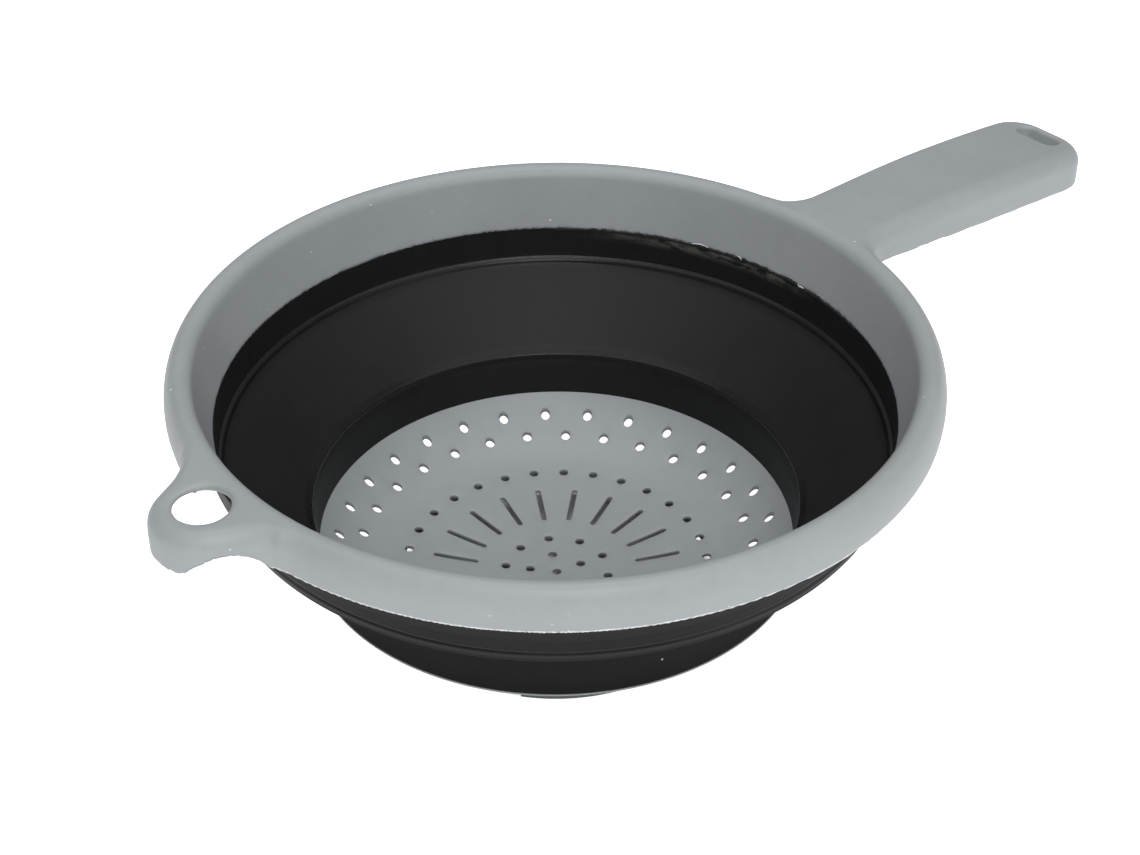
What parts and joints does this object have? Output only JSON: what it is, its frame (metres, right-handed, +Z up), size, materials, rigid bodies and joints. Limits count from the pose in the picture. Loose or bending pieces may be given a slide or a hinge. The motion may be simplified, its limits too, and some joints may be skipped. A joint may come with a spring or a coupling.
{
  "type": "collapsible colander",
  "caption": "Round kitchen colander with a folding rubbery wall, a drilled and slotted strainer dish on a foot ring, a rolled rim, a long hollow handle and a hanging loop",
  "frame": {"origin": "on the table, under the middle of the colander's length; the bowl's axis is 47.85 mm toward the hanging loop, at X = -47.85 mm", "axes": "+X along the handle, from the bowl to the handle's tip; +Z up, along the bowl's axis; +Y to the left of the handle seen from the bowl"},
  "size_m": [0.3784, 0.2396, 0.0974],
  "materials": {
    "grey_plastic": "satin moulded polypropylene, cool mid grey",
    "black_rubber": "satin black thermoplastic rubber"
  },
  "bodies": {
    "base": {"strainer_dish": "grey_plastic", "wall_lower_band": "black_rubber"},
    "cone": {"wall_cone_band": "black_rubber"},
    "rim": {"rim_frame": "grey_plastic", "wall_upper_band": "black_rubber"}
  },
  "joints": [
    {"name": "rim_press", "type": "slide", "parent": "base", "child": "rim", "axis": [0, 0, -1], "range_m": [0, 0.0458]},
    {"name": "cone_fold", "type": "slide", "parent": "base", "child": "cone", "axis": [0, 0, -1], "range_m": [0, 0.0229]}
  ],
  "couplings": [
    {"joint": "cone_fold", "follows": "rim_press", "ratio": 0.5}
  ]
}
